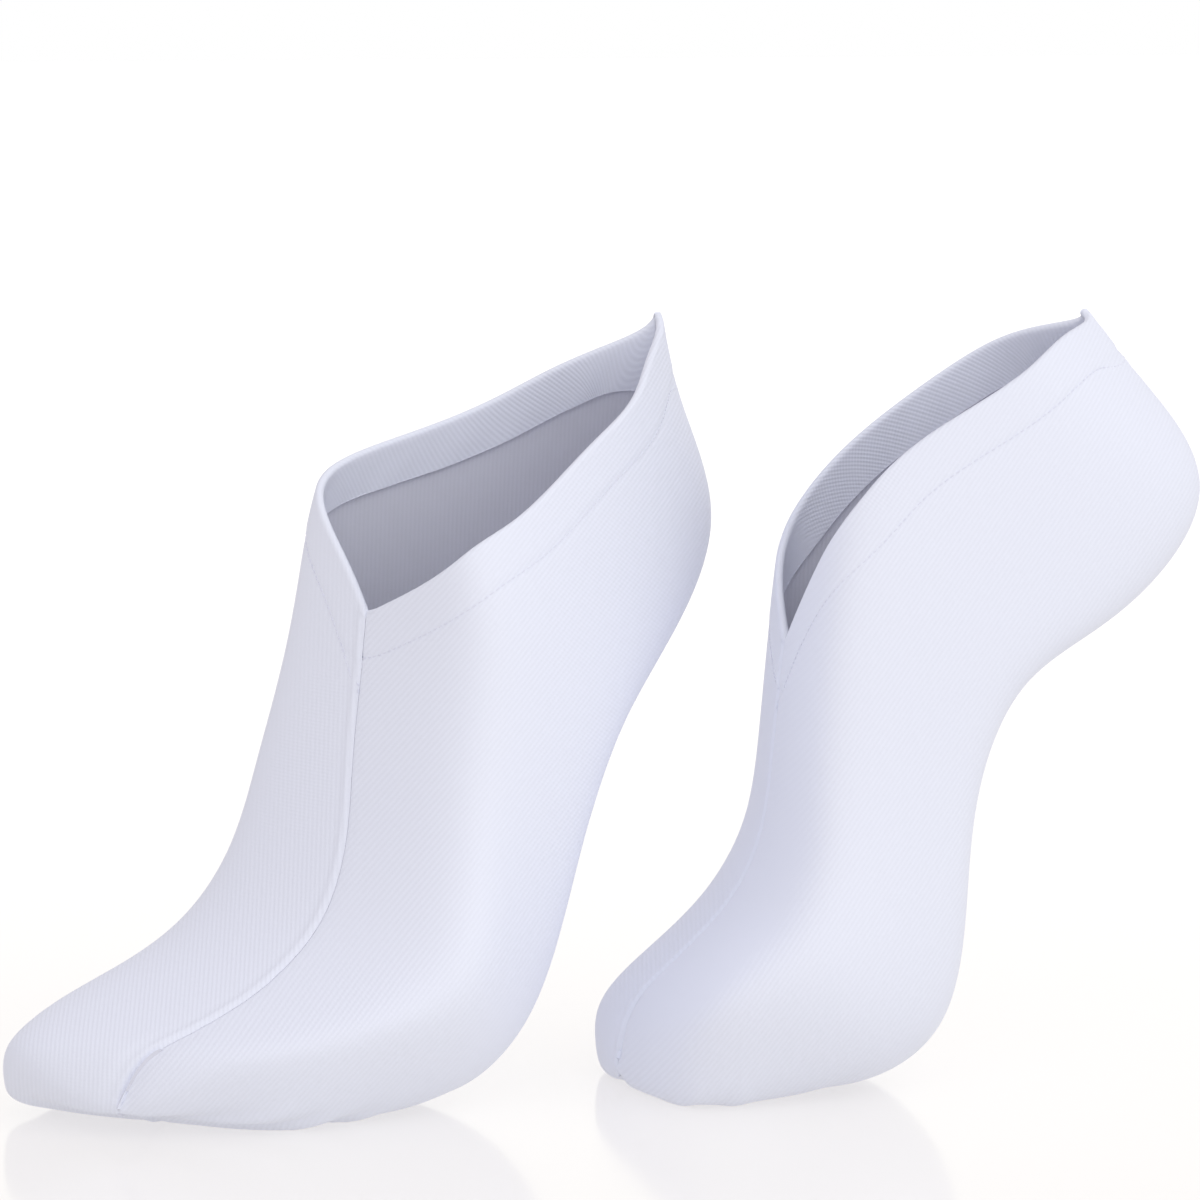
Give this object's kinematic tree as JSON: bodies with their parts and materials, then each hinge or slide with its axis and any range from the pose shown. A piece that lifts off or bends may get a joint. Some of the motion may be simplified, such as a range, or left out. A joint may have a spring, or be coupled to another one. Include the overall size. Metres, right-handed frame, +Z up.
{
  "type": "pair of moisturizing socks",
  "caption": "A pair of low V-neck stretch-jersey moisturizing socks with pointed heel backs, kept hollow in the form of feet on tiptoe, each cut as two side panels with a turned-under edge.",
  "frame": {"origin": "The middle of the left sock's ankle opening, in the empty space where the wearer's ankle holds the pair up.", "axes": "+Z up, against the floor that the forefeet stand on; -Y forward, the way the wearer faces; +X to the wearer's left."},
  "size_m": [0.1254, 0.3163, 0.205],
  "materials": {
    "jersey": "smooth fine-wale stretch jersey, bluish lilac white, with a soft sheen",
    "jersey_inside": "matt inner face of the same jersey, with the turned hem's stitching"
  },
  "bodies": {
    "root": {"left_outer_panel": "jersey", "left_inner_panel": "jersey", "left_outer_hem": "jersey_inside", "left_inner_hem": "jersey_inside", "right_outer_panel": "jersey", "right_inner_panel": "jersey", "right_outer_hem": "jersey_inside", "right_inner_hem": "jersey_inside"}
  },
  "joints": []
}
